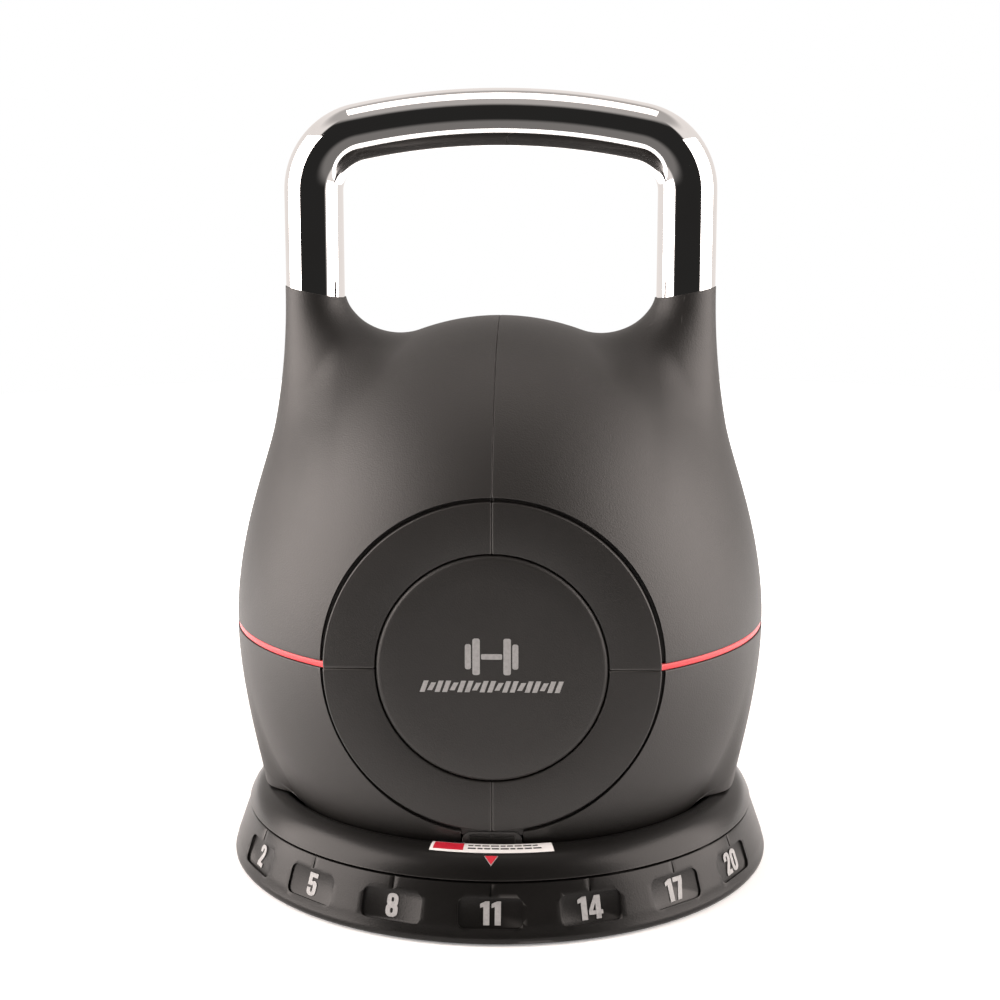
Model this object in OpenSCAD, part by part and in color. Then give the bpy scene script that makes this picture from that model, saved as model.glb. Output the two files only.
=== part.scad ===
// Adjustable kettlebell standing on its dial base. Origin at the centre of the ground face,
// front towards -Y, +Z up.

/* [Handle] */
// Outside diameter of the handle tube
grip_d = 27.5; // [24:0.5:33]
// Wall of the handle tube
tube_wall = 3; // [2:0.5:4]
// Height of the handle's top above the ground
overall_h = 364; // [325:1:440]
// Distance between the centre lines of the two legs
leg_spacing = 174.6; // [160:0.2:180]
// Radius of the two bends, on the tube's centre line
bend_r = 27; // [22:1:34]
// Radius of the arched top bar, on the tube's centre line
arch_r = 318; // [250:1:500]

/* [Body] */
// Width of the body at its widest level
body_w = 252; // [250:1:304]
// How far each flat ring face lies inside the widest level
face_inset = 18; // [14:1:20]
// Height of the widest level above the ground
body_z = 116; // [112:1:130]
// Rise of the dome above the widest level
dome_rise = 143; // [138:1:165]
// Height of the body's open foot above the ground
foot_z = 30; // [30:0.5:32]
// Wall of the four shell pieces
shell_wall = 3; // [2.5:0.1:4]
// Outside diameter of the flat ring on each face
ring_d = 144.8; // [136:0.2:160]
// Diameter of the round cap in the middle of each face
cap_d = 99.4; // [90:0.2:112]
// How far the cap stands out of the ring
cap_proud = 1.5; // [0.5:0.1:3]
// Height of the red trim strip
strip_h = 3; // [2:0.5:6]
// How far the trim strip sits below the shell's surface
strip_inset = 1; // [0.5:0.1:1.5]
// Height of the collars where the handle enters the body
collar_z = 270.2; // [262:0.2:285]
// Half the depth of the horns at the foot of their slope
horn_half_depth = 55; // [45:1:65]

/* [Base] */
// How far the base stands out from the body all round
base_margin = 4; // [3:0.5:8]
// Height of the dial ring's top edge
dial_top_z = 25.5; // [25:0.1:26]
// Height of the cover's rim
rim_z = 38; // [37:0.5:39]
// Width of the windows in the dial ring
window_w = 28; // [22:0.5:32]
// Height of the windows in the dial ring
window_h = 13; // [11:0.5:14]
// Depth of the windows in the dial ring
window_depth = 2; // [1:0.1:2.5]
// Angle between two settings of the dial
dial_step = 20; // [15:1:20]

/* [Plates] */
// Diameter of the weight plates
plate_d = 168; // [140:1:172]
// Thickness of a weight plate
plate_t = 20.2; // [16:0.1:24.5]
// Distance between two stacked plates
plate_gap = 0.3; // [0.3:0.1:1]

/* [Selector] */
// Width across the flats of the selector shaft
shaft_af = 14; // [12:0.5:17]
// Radius of the lugs that carry the plates
lug_r = 24; // [20:0.5:28]
// Thickness of a lug
lug_t = 4; // [3:0.5:5]
// Opening angle of the slots that let the lugs through
slot_angle = 126; // [120:1:130]
// Running clearance between parts that pass each other
pass_gap = 0.3; // [0.3:0.05:0.6]
// Radial clearance of a journal in its bearing
journal_gap = 0.05; // [0.02:0.01:0.09]

/* [Lock button] */
// Width of the lock button
button_w = 26; // [20:1:30]
// Height of the button's top edge
button_top_z = 42.7; // [41:0.1:44]
// Travel of the lock button
button_travel = 3; // [2:0.5:3]

/* [Hidden] */
plate_count = 6;
setting_count = 7;
middle_setting = 3;
lightest = 2;
weight_step = 3;
fine = 96;
hull_fn = 32;
screw_fn = 24;
cut = 0.5;           // how far a cutter runs past the face it opens

// Shell
body_r = body_w / 2;
ring_r = ring_d / 2;
cap_r = cap_d / 2;
face_y = body_r - face_inset;
cap_hole_r = cap_r - 4;
cap_seat = 2.5;
cap_gap = 0.4;
leg_x = leg_spacing / 2;
grip_r = grip_d / 2;
collar_r = grip_r + 1.4;
collar_tilt = 11;
horn_root_x = 20;    // where the horn's slope ends inside the dome
strip_z = body_z - strip_h / 2;
half_gap = 0.1;      // between the two halves of a split shell

// Base, from the ground up
feet_h = 2;
plate_floor_t = 3;
base_floor_z = feet_h + plate_floor_t;
dial_bottom_z = 1;
dial_slope = 19.4;
dial_r = body_r + base_margin;
dial_top_r = dial_r - 7.5;
dial_in_r = dial_r - 11.5;
dial_wall_gap = 1;
base_plate_r = dial_in_r - dial_wall_gap;
cover_gap = 1.3;
cover_z = dial_top_z + cover_gap;
cover_t = 2.6;
ledge_z = foot_z - pass_gap;
cover_floor_z = ledge_z - 3;
channel_r = shell_r(rim_z, 0) + 1.4;
tray_lip_t = 3;
tray_z = cover_floor_z - tray_lip_t;
tray_top = ledge_z + 4;
tray_r = plate_d / 2 + 3.5;
tray_lip_r = tray_r + 12;
post_r = 6;
post_ring_r = 60;
post_angles = [80, 100, 260, 280];
carrier_z = 14;
carrier_t = 4;
hub_r = 13;
pin_r = 6;
pin_top_z = 16;
hub_top_z = tray_top - 3.7;
detent_r = 30;
ball_r = 3;
ball_z = carrier_z - pass_gap - ball_r;
spoke_w = 24;
lobe_r = dial_r - 15;
lobe_half_w = 43;

// Stack of plates and cams, 1 at the top
pitch = plate_t + plate_gap;
stack_top = tray_top + plate_count * pitch;
bore_r = 12;
cam_hub_r = bore_r - 1;
recess_r = lug_r + 1;
recess_h = lug_t + 2 * pass_gap;
lug_gap = 3;
rail_w = 10;
rail_x = plate_d / 2 - 5;
notch_gap = 0.6;

// Frame that carries everything from the handle
frame_z = stack_top + 33;
frame_t = 5;
frame_top = frame_z + frame_t;
frame_half_w = 16;
hub_half_h = 5;
journal_r = shaft_af / 2;
bush_wall = 2.5;
bush_r = journal_r + journal_gap + bush_wall;
bush_flange = 2;
boss_r = 5;
boss_x = 55;
horn_mid_x = boss_x + boss_r + 0.15;    // the horn's hollow stays clear of the frame bosses
boss_y = 9;
screw_r = 2;
base_head_h = 2.8;
screw_bite = 3.5;    // how far the base screws reach into the tray
joint_boss_r = body_r - shell_wall - 6;
joint_boss_angle = 35;
joint_boss_h = 15;

// Radius of the egg-shaped body at a height, on its outside (inset 0) or further in
function shell_r(z, inset) =
    (body_r - inset) * sqrt(max(0, 1 - pow((z - body_z) / (dome_rise - inset), 2)));

// Height of the underside of plate j
function plate_z(j) = tray_top + (plate_count - j) * pitch;

// Centre line of the handle: an arch between two bends above two straight legs
arch_top_z = overall_h - grip_r;
arch_z = arch_top_z - arch_r;
bend_x = leg_x - bend_r;
bend_z = arch_z + sqrt(pow(arch_r - bend_r, 2) - pow(bend_x, 2));
arch_half_angle = asin(bend_x / (arch_r - bend_r));

module black() color([0.07, 0.07, 0.075]) children();
module steel() color([0.7, 0.71, 0.73]) children();
module iron() color([0.22, 0.22, 0.23]) children();

// A straight screw standing on its head, thread upwards
module screw(shank_r, head_r, head_h, length) {
    cylinder(r = head_r, h = head_h, $fn = screw_fn);
    translate([0, 0, head_h]) cylinder(r = shank_r, h = length, $fn = screw_fn);
}

// Solid sector from angle a over a sweep
module sector(r, h, a, sweep) {
    rotate([0, 0, a]) rotate_extrude(angle = sweep, $fn = fine) square([r, h]);
}

// Flat bar with round corners, centred, standing on z = 0
module rounded_bar(w, d, h, r) {
    for (s = [[w - 2 * r, d], [w, d - 2 * r]])
        translate([-s[0] / 2, -s[1] / 2, 0]) cube([s[0], s[1], h]);
    for (x = [-1, 1], y = [-1, 1])
        translate([x * (w / 2 - r), y * (d / 2 - r), 0]) cylinder(r = r, h = h, $fn = screw_fn);
}

// ---------- Base ----------

module base_plate() black() {
    difference() {
        union() {
            translate([0, 0, feet_h]) cylinder(r = base_plate_r, h = plate_floor_t, $fn = fine);
            for (a = post_angles) rotate([0, 0, a]) translate([post_ring_r, 0, feet_h])
                cylinder(r = post_r, h = tray_z - feet_h, $fn = screw_fn);
            translate([0, 0, feet_h]) cylinder(r = pin_r, h = pin_top_z - feet_h, $fn = fine);
            translate([0, -detent_r, feet_h])
                cylinder(r = ball_r + 2.5, h = ball_z + 1 - feet_h, $fn = screw_fn);
            // Stop behind the lock button's spring
            translate([-button_w / 4, -spring_stop_y, feet_h])
                cube([button_w / 2, 4, tray_z - 1 - feet_h]);
        }
        for (a = post_angles) rotate([0, 0, a]) translate([post_ring_r, 0, feet_h - cut]) {
            cylinder(r = screw_r + 0.1, h = tray_z, $fn = screw_fn);
            cylinder(r = 4.2, h = 3 + cut, $fn = screw_fn);
        }
        translate([0, -detent_r, base_floor_z]) cylinder(r = ball_r + 0.2, h = ball_z, $fn = screw_fn);
    }
}

module rubber_feet() color([0.12, 0.12, 0.12])
    for (a = [45 : 90 : 315]) rotate([0, 0, a]) translate([base_plate_r - 20, 0, 0])
        cylinder(r1 = 9.5, r2 = 10, h = feet_h, $fn = fine);

module base_screws() steel()
    for (a = post_angles) rotate([0, 0, a]) translate([post_ring_r, 0, feet_h])
        screw(screw_r, 4, base_head_h, tray_z - feet_h - base_head_h + screw_bite);

// Fixed cover: a rounded rim over the dial, and a channel that takes the body's foot
rim_r = dial_r - 19;
module top_cover() black() difference() {
    rotate_extrude($fn = fine) polygon([
        [dial_top_r, cover_z], [dial_top_r - 1, cover_z + 2.2], [dial_top_r - 3, rim_z - 5],
        [dial_top_r - 6.5, rim_z - 1.5], [rim_r, rim_z], [channel_r + 1, rim_z - 0.5],
        [channel_r, rim_z - 2], [channel_r, ledge_z], [tray_r + 0.5, ledge_z],
        [tray_r + 0.5, cover_floor_z], [channel_r + cover_t, cover_floor_z],
        [channel_r + cover_t, rim_z - 3], [rim_r, rim_z - 2.8],
        [dial_top_r - 7.5, rim_z - 4.2], [dial_top_r - 5.2, rim_z - 6.6],
        [dial_top_r - 3.6, cover_z + 1.5], [dial_top_r - 2.8, cover_z]
    ]);
    // Slot that the lock button moves in
    translate([-button_w / 2 - pass_gap, -button_y - pass_gap, cover_floor_z - cut])
        cube([button_w + 2 * pass_gap, button_t + button_travel + 2 * pass_gap, rim_z]);
    for (a = cover_screw_angles) rotate([0, 0, a])
        translate([cover_screw_r, 0, cover_floor_z - cut])
            cylinder(r = 1.1, h = 2.5 + cut, $fn = screw_fn);
}

cover_screw_angles = [30, 150, 210, 330];
cover_screw_r = tray_r + 6;

module plate_tray() color([0.16, 0.16, 0.17]) difference() {
    rotate_extrude($fn = fine) polygon([
        [hub_r + 1, tray_z], [tray_lip_r, tray_z], [tray_lip_r, cover_floor_z],
        [tray_r, cover_floor_z], [tray_r, tray_top], [hub_r + 1, tray_top]
    ]);
    for (a = post_angles) rotate([0, 0, a]) translate([post_ring_r, 0, tray_z - cut])
        cylinder(r = screw_r, h = screw_bite + 2 * cut, $fn = screw_fn);
    for (a = cover_screw_angles) rotate([0, 0, a]) translate([cover_screw_r, 0, tray_z - cut])
        cylinder(r = 1.3, h = 5, $fn = screw_fn);
}

module cover_screws() steel()
    for (a = cover_screw_angles) rotate([0, 0, a]) translate([cover_screw_r, 0, tray_z - 1.5])
        screw(1.1, 2.4, 1.5, tray_lip_t + 2);

// The rim's front slope falls 45 degrees: the pointer lies on it
module pointer_mark() color([0.78, 0.07, 0.09])
    rotate([0, 0, -90]) translate([dial_top_r - 4.75, 0, rim_z - 3.25]) rotate([0, 45, 0])
        translate([0, 0, 0.15]) linear_extrude(0.5)
            polygon([[-3, -3.75], [-3, 3.75], [3, 0]]);

label_w = 52;
module info_label() color([0.92, 0.92, 0.91])
    rotate([0, 0, -90 - label_sweep / 2]) rotate_extrude(angle = label_sweep, $fn = fine)
        polygon([[rim_r + 0.4, rim_z], [rim_r + 4.2, rim_z - 1.15],
                 [rim_r + 4.3, rim_z - 0.85], [rim_r + 0.5, rim_z + 0.3]]);
label_sweep = label_w / rim_r * 180 / PI;

module detent_ball() steel() translate([0, -detent_r, ball_z]) sphere(r = ball_r, $fn = 48);

module detent_spring() steel() translate([0, -detent_r, base_floor_z])
    coil_sleeve(ball_r - 0.3, 0.7, ball_z - ball_r - base_floor_z);

// Closed coils of a compression spring, as the sleeve they fill
module coil_sleeve(r, wire, h) difference() {
    cylinder(r = r, h = h, $fn = fine);
    translate([0, 0, -cut]) cylinder(r = r - wire, h = h + 2 * cut, $fn = fine);
}

// ---------- Lock button ----------

button_t = 3;
button_y = channel_r - 1.4;
button_foot_z = tray_z - 4.5;
button_corner = 4;
spring_stop_y = button_y - 14.5;
spring_axis_z = tray_z - 3.2;
pawl_h = 3.5;
pawl_w = 8;

module lock_button() color([0.09, 0.09, 0.095]) union() {
    translate([-button_w / 2, -button_y, button_foot_z])
        cube([button_w, button_t, button_top_z - button_corner - button_foot_z]);
    translate([-button_w / 2 + button_corner, -button_y, button_top_z - button_corner - 1])
        cube([button_w - 2 * button_corner, button_t, button_corner + 1]);
    for (s = [-1, 1])
        translate([s * (button_w / 2 - button_corner), -button_y, button_top_z - button_corner])
            rotate([-90, 0, 0]) cylinder(r = button_corner, h = button_t, $fn = 48);
    // Pawl that stops the dial from inside the ring
    translate([-pawl_w / 2, -(dial_in_r - pass_gap), button_foot_z])
        cube([pawl_w, dial_in_r - pass_gap - button_y + 1, pawl_h]);
}

module lock_spring() steel()
    translate([0, -button_y + button_t, spring_axis_z]) rotate([-90, 0, 0])
        coil_sleeve(2.8, 0.7, button_y - button_t - spring_stop_y - 0.001);

// ---------- Dial ----------

function setting_angle(k) = -90 + dial_step * (k - middle_setting);
window_z = 13.85;
window_r = dial_top_r + (dial_top_z - window_z) * tan(dial_slope);
dial_foot_r = dial_top_r + (dial_top_z - 7) * tan(dial_slope);

// Puts its children in the window of setting k: z out of the face, y to the right, -x up
module at_window(k) {
    rotate([0, 0, setting_angle(k)]) translate([window_r, 0, window_z])
        rotate([0, 90 - dial_slope, 0]) children();
}

module dial_ring() black() difference() {
    union() {
        rotate_extrude($fn = fine) polygon([
            [dial_in_r, dial_bottom_z], [dial_r - 0.8, dial_bottom_z], [dial_r, 3],
            [dial_foot_r, 7], [dial_top_r + 0.3, dial_top_z - 0.6],
            [dial_top_r - 0.5, dial_top_z], [dial_in_r, dial_top_z]
        ]);
        for (a = [0, 180]) rotate([0, 0, a]) translate([dial_in_r - 9, -spoke_w / 2, base_floor_z + 2])
            cube([11, spoke_w, carrier_z - base_floor_z - 2]);
    }
    for (k = [0 : setting_count - 1]) at_window(k) {
        translate([0, 0, -window_depth]) rounded_bar(window_h, window_w, 2 * window_depth, 3);
        // Index line above the window
        translate([-window_h / 2 - 4.6, -0.25, -0.5]) cube([4, 0.5, 1]);
    }
    for (a = [0, 180], s = [-1, 1]) rotate([0, 0, a])
        translate([dial_in_r - 5, s * spoke_w / 4, base_floor_z + 3])
            cylinder(r = 1.4, h = carrier_z, $fn = screw_fn);
}

// Strokes of the numerals 0 to 9: top, upper left, upper right, middle, lower left, lower right, foot
strokes = [[1, 1, 1, 0, 1, 1, 1], [0, 0, 1, 0, 0, 1, 0], [1, 0, 1, 1, 1, 0, 1],
           [1, 0, 1, 1, 0, 1, 1], [0, 1, 1, 1, 0, 1, 0], [1, 1, 0, 1, 0, 1, 1],
           [1, 1, 0, 1, 1, 1, 1], [1, 0, 1, 0, 0, 1, 0], [1, 1, 1, 1, 1, 1, 1],
           [1, 1, 1, 1, 0, 1, 1]];
digit_w = 5.6;
digit_h = 10;
stroke_w = 1.8;
digit_t = 0.6;

module numeral(n) {
    arm = (digit_h - stroke_w) / 2;
    on = strokes[n];
    for (i = [0, 3, 6]) if (on[i] == 1)
        translate([-digit_h / 2 + arm * i / 3, -digit_w / 2, 0]) cube([stroke_w, digit_w, digit_t]);
    for (i = [1, 2, 4, 5]) if (on[i] == 1)
        translate([i < 3 ? -digit_h / 2 : -digit_h / 2 + arm,
                   i % 3 == 1 ? -digit_w / 2 : digit_w / 2 - stroke_w, 0])
            cube([arm + stroke_w, stroke_w, digit_t]);
}

module dial_numbers() color([0.8, 0.8, 0.8])
    for (k = [0 : setting_count - 1]) {
        value = lightest + weight_step * k;
        at_window(k) translate([0, 0, -window_depth])
            if (value < 10) numeral(value);
            else for (i = [0, 1]) translate([0, (i - 0.5) * (digit_w + 0.8), 0])
                numeral(i == 0 ? floor(value / 10) : value % 10);
    }

// Two-armed carrier that turns on the base's pin and drives the selector shaft
module dial_carrier() color([0.3, 0.3, 0.31]) difference() {
    union() {
        translate([0, 0, base_floor_z + 3]) cylinder(r = hub_r, h = hub_top_z - base_floor_z - 3, $fn = fine);
        translate([0, 0, carrier_z]) cylinder(r = detent_r + 8, h = carrier_t, $fn = fine);
        translate([-dial_in_r + 2, -spoke_w / 2, carrier_z])
            cube([2 * dial_in_r - 4, spoke_w, carrier_t]);
    }
    translate([0, 0, base_floor_z]) cylinder(r = pin_r + journal_gap, h = pin_top_z - base_floor_z + 0.5, $fn = fine);
    translate([0, 0, shaft_foot_z - 0.5]) hex_bar(shaft_af + 2 * pass_gap, hub_top_z);
    for (k = [0 : setting_count - 1]) rotate([0, 0, setting_angle(k)])
        translate([detent_r, 0, carrier_z - 2]) sphere(r = ball_r + 0.3, $fn = 32);
    for (a = [0, 180], s = [-1, 1]) rotate([0, 0, a])
        translate([dial_in_r - 5, s * spoke_w / 4, carrier_z - cut])
            cylinder(r = 1.6, h = carrier_t + 2 * cut, $fn = screw_fn);
}

module dial_screws() steel()
    for (a = [0, 180], s = [-1, 1]) rotate([0, 0, a])
        translate([dial_in_r - 5, s * spoke_w / 4, carrier_z + carrier_t + 1.6]) rotate([180, 0, 0])
            screw(1.4, 3, 1.6, carrier_t + 5);

// ---------- Plates ----------

module weight_plate(j) iron() translate([0, 0, plate_z(j)]) difference() {
    rotate_extrude($fn = fine) polygon([
        [bore_r, 0], [plate_d / 2 - 1.5, 0], [plate_d / 2, 1.5], [plate_d / 2, plate_t - 1.5],
        [plate_d / 2 - 1.5, plate_t], [bore_r, plate_t]
    ]);
    translate([0, 0, -cut]) cylinder(r = recess_r, h = recess_h + cut, $fn = fine);
    for (a = [0, 180])
        translate([0, 0, -cut]) sector(recess_r - 0.3, plate_t + 2 * cut, a - slot_angle, slot_angle);
    for (a = [0, 180]) rotate([0, 0, a])
        translate([rail_x - notch_gap, -rail_w / 2 - notch_gap, -cut])
            cube([plate_d, rail_w + 2 * notch_gap, plate_t + 2 * cut]);
}

// ---------- Selector ----------

module hex_bar(af, h) cylinder(r = af / 2 / cos(30), h = h, $fn = 6);

shaft_foot_z = pin_top_z + 2.5;
cam_foot_z = tray_top + pass_gap;
cam_top_z = cam_foot_z + plate_count * pitch;
nut_z = frame_top + hub_half_h + bush_flange + pass_gap;
nut_h = 8;
clip_h = 2;

module selector_shaft() steel() union() {
    translate([0, 0, shaft_foot_z]) hex_bar(shaft_af, cam_top_z + clip_h - shaft_foot_z);
    translate([0, 0, hub_top_z + 0.5]) cylinder(r = cam_hub_r, h = cam_foot_z - hub_top_z - 0.5, $fn = fine);
    translate([0, 0, cam_top_z]) cylinder(r = journal_r, h = nut_z + nut_h + 2 - cam_top_z, $fn = fine);
}

module cam_clip() steel() translate([0, 0, cam_top_z]) difference() {
    cylinder(r = cam_hub_r, h = clip_h, $fn = fine);
    translate([0, 0, -cut]) hex_bar(shaft_af + 0.1, clip_h + 2 * cut);
}

module shaft_nut() steel() translate([0, 0, nut_z]) difference() {
    hex_bar(2 * bush_r + 4, nut_h);
    translate([0, 0, -cut]) cylinder(r = journal_r + 0.02, h = nut_h + 2 * cut, $fn = fine);
}

// A cam carries plate j at each setting of j or more steps: its two lugs are that much longer
module lift_cam(j) color([0.62, 0.62, 0.6]) translate([0, 0, cam_foot_z + (plate_count - j) * pitch])
    difference() {
        union() {
            cylinder(r = cam_hub_r, h = pitch, $fn = fine);
            for (a = [0, 180]) {
                sweep = slot_angle - 2 * lug_gap - dial_step * (j - 1);
                sector(lug_r, lug_t, a - lug_gap - sweep - dial_step * middle_setting, sweep);
            }
        }
        translate([0, 0, -cut]) hex_bar(shaft_af + 0.1, pitch + 2 * cut);
    }

module shaft_bush() color([0.72, 0.55, 0.25]) difference() {
    union() {
        translate([0, 0, frame_z - hub_half_h])
            cylinder(r = bush_r, h = frame_t + 2 * hub_half_h, $fn = fine);
        translate([0, 0, frame_top + hub_half_h]) cylinder(r = bush_r + 4, h = bush_flange, $fn = fine);
    }
    translate([0, 0, frame_z - hub_half_h - cut])
        cylinder(r = journal_r + journal_gap, h = frame_t + 2 * hub_half_h + bush_flange + 2 * cut, $fn = fine);
}

// ---------- Handle and frame ----------

module leg_sides() for (s = [0, 1]) mirror([s, 0, 0]) children();

// Stations along the bar's centre line: x, z and the direction of the outside of the bend
bend_sweep = 90 - arch_half_angle;
bend_steps = 8;
arch_steps = 12;
bar_sides = 32;
stations = concat(
    [[leg_x, frame_top, 0]],
    [for (i = [0 : bend_steps]) let (t = bend_sweep * i / bend_steps)
        [bend_x + bend_r * cos(t), bend_z + bend_r * sin(t), t]],
    [for (i = [1 : arch_steps - 1]) let (t = bend_sweep + 2 * arch_half_angle * i / arch_steps)
        [arch_r * cos(t), arch_z + arch_r * sin(t), t]],
    [for (i = [bend_steps : -1 : 0]) let (t = bend_sweep * i / bend_steps)
        [-bend_x - bend_r * cos(t), bend_z + bend_r * sin(t), 180 - t]],
    [[-leg_x, frame_top, 180]]);

// Round bar swept along the stations
module bent_bar(r) {
    n = bar_sides;
    last = len(stations) - 1;
    points = [for (s = stations, i = [0 : n - 1]) let (a = 360 * (i + 0.5) / n)
        [s[0] + r * cos(a) * cos(s[2]), r * sin(a), s[1] + r * cos(a) * sin(s[2])]];
    sides = [for (k = [0 : last - 1], i = [0 : n - 1]) let (j = (i + 1) % n)
        [k * n + i, (k + 1) * n + i, (k + 1) * n + j, k * n + j]];
    ends = [[for (i = [0 : n - 1]) i], [for (i = [n - 1 : -1 : 0]) last * n + i]];
    polyhedron(points = points, faces = concat(sides, ends), convexity = 6);
}

module handle_tube() steel() difference() {
    bent_bar(grip_r);
    leg_sides() translate([leg_x, 0, frame_top - cut])
        cylinder(r = grip_r - tube_wall, h = bend_z - frame_top + cut, $fn = fine);
}

plug_h = 30;
bolt_r = 5;
module handle_plugs() steel() leg_sides() translate([leg_x, 0, frame_top]) difference() {
    cylinder(r = grip_r - tube_wall, h = plug_h, $fn = fine);
    translate([0, 0, -cut]) cylinder(r = bolt_r, h = plug_h - 5 + cut, $fn = screw_fn);
}

module handle_bolts() steel() leg_sides() translate([leg_x, 0, frame_z - 6.4]) {
    hex_bar(17, 6.4);
    translate([0, 0, 6.4]) cylinder(r = bolt_r, h = frame_t + 20, $fn = screw_fn);
}

module handle_frame() color([0.45, 0.46, 0.48]) difference() {
    union() {
        translate([-leg_x, -frame_half_w, frame_z]) cube([2 * leg_x, 2 * frame_half_w, frame_t]);
        leg_sides() translate([leg_x, 0, frame_z])
            cylinder(r = grip_r, h = frame_t, $fn = fine);
        translate([0, 0, frame_z - hub_half_h])
            cylinder(r = bush_r + 5, h = frame_t + 2 * hub_half_h, $fn = fine);
    }
    translate([0, 0, frame_z - hub_half_h - cut])
        cylinder(r = bush_r, h = frame_t + 2 * hub_half_h + 2 * cut, $fn = fine);
    leg_sides() translate([leg_x, 0, frame_z - cut])
        cylinder(r = bolt_r + 0.2, h = frame_t + 2 * cut, $fn = screw_fn);
    for (x = [-1, 1], y = [-1, 1]) translate([x * boss_x, y * boss_y, frame_z - cut])
        cylinder(r = screw_r + 0.2, h = frame_t + 2 * cut, $fn = screw_fn);
}

module frame_screws() steel()
    for (x = [-1, 1], y = [-1, 1]) translate([x * boss_x, y * boss_y, frame_z - 2.5])
        screw(screw_r, 4, 2.5, frame_t + 14);

// ---------- Shell ----------

// Egg-shaped body of revolution, cut off at its foot
module egg(inset, foot) {
    steps = 20;
    low = asin((foot - body_z) / (dome_rise - inset));
    rotate_extrude($fn = fine) polygon(concat(
        [for (i = [0 : steps]) let (t = low + (90 - low) * i / steps)
            [(body_r - inset) * cos(t), body_z + (dome_rise - inset) * sin(t)]],
        [[0, foot]]));
}

// Elliptic slice of a horn, from its inner to its outer edge
module horn_slice(z, inner_x, outer_x, half_y, tilt = 0) {
    translate([(inner_x + outer_x) / 2, 0, z]) rotate([0, -tilt, 0])
        scale([(outer_x - inner_x) / 2, half_y, 1]) cylinder(r = 1, h = 0.1, $fn = hull_fn);
}

// One horn that swells from the dome up to the collar round a handle leg
module horn(inset) {
    in = inset;
    mid_z = collar_z - 18;
    low_z = collar_z - 45;
    foot_slice_z = collar_z - 115;
    low_out = leg_x + collar_r + 2.3;
    module top() horn_slice(collar_z, leg_x - collar_r + in * 0.35, leg_x + collar_r - in * 0.35,
                            collar_r - in * 0.35, collar_tilt);
    module mid() horn_slice(mid_z, horn_mid_x + in, leg_x + collar_r - in, collar_r + 4 - in);
    module low() horn_slice(low_z, horn_root_x + in, low_out - in, collar_r + 21 - in);
    module foot() horn_slice(foot_slice_z, horn_root_x + in, shell_r(foot_slice_z, 0) - 0.5 - in,
                             horn_half_depth - in);
    hull() { top(); mid(); }
    hull() { mid(); low(); }
    hull() { low(); foot(); }
}

// Round plug along Y, from the middle out to a face of the body
module face_plug(r, from, to) {
    for (s = [0, 1]) mirror([0, s, 0])
        translate([0, -from, body_z]) rotate([90, 0, 0]) cylinder(r = r, h = to - from, $fn = fine);
}

ring_skirt_y = face_y - 11;

// Half of the shell, above or below the split, before it is divided left and right
module shell_blank(upper) difference() {
    union() {
        intersection() {
            difference() {
                union() {
                    egg(0, foot_z);
                    if (upper) horn(0);
                    else lobe();
                }
                egg(shell_wall, foot_z - cut);
                if (upper) horn(shell_wall);
                face_plug(ring_r - shell_wall, ring_skirt_y, face_y + 30);
            }
            translate([0, -face_y, 0]) cube([body_r + 10, 2 * face_y, overall_h]);
        }
        difference() {
            face_plug(ring_r, ring_skirt_y, face_y);
            face_plug(ring_r - shell_wall, ring_skirt_y - cut, face_y - shell_wall);
        }
        side_rail();
        joint_bosses();
        if (upper) frame_bosses();
    }
    face_plug(cap_hole_r, ring_skirt_y, face_y + cut);
    face_plug(cap_r + cap_gap, face_y - cap_seat, face_y + cut);
    if (upper) translate([leg_x, 0, frame_top - cut])
        cylinder(r = grip_r + 0.2, h = overall_h, $fn = fine);
    if (!upper) button_notch();
}

// Rail that keeps the plates from turning
module side_rail() intersection() {
    translate([rail_x, -rail_w / 2, foot_z + 6])
        cube([body_r, rail_w, stack_top - foot_z - 10]);
    egg(shell_wall / 2, foot_z);
}

// Bosses that the screws between upper and lower shell go through
module joint_bosses() for (a = [-joint_boss_angle, joint_boss_angle]) rotate([0, 0, a])
    difference() {
        union() {
            translate([joint_boss_r, 0, body_z - joint_boss_h])
                cylinder(r = boss_r, h = 2 * joint_boss_h, $fn = screw_fn);
            for (z = [body_z - joint_boss_h, strip_z + strip_h])
                translate([joint_boss_r, -3, z])
                    cube([6.8, 6, joint_boss_h - strip_h / 2]);
        }
        translate([joint_boss_r, 0, body_z - joint_boss_h - cut])
            cylinder(r = screw_r - 0.4, h = 2 * joint_boss_h - 4, $fn = screw_fn);
    }

module shell_screws() steel()
    for (s = [0, 1], a = [-joint_boss_angle, joint_boss_angle]) mirror([s, 0, 0]) rotate([0, 0, a])
        translate([joint_boss_r, 0, body_z - joint_boss_h - 2])
            screw(screw_r - 0.4, 3.2, 2, 2 * joint_boss_h - 6);

// Bosses that hang from the dome onto the frame
module frame_bosses() for (y = [-1, 1]) difference() {
    translate([boss_x, y * boss_y, frame_top])
        cylinder(r = boss_r, h = dome_height(boss_x, boss_y) - frame_top, $fn = screw_fn);
    translate([boss_x, y * boss_y, frame_top - cut])
        cylinder(r = screw_r, h = 16, $fn = screw_fn);
}

// Height of the middle of the dome's wall over a point
function dome_height(x, y) = body_z + (dome_rise - shell_wall / 2)
    * sqrt(1 - (x * x + y * y) / pow(body_r - shell_wall / 2, 2));

// Lobe at the side of the foot that rests over the cover's rim
module lobe() intersection() {
    rotate_extrude($fn = fine) polygon([
        [shell_r(rim_z, shell_wall) + 1.5, rim_z + pass_gap], [lobe_r, rim_z + pass_gap],
        [lobe_r + 1.8, rim_z + 11.5], [lobe_r + 3, rim_z + 21.5], [shell_r(rim_z + 40, 0), rim_z + 40],
        [shell_r(rim_z + 40, shell_wall) + 1.5, rim_z + 40]
    ]);
    translate([0, -lobe_half_w, 0]) cube([dial_r, 2 * lobe_half_w, overall_h]);
}

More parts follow.
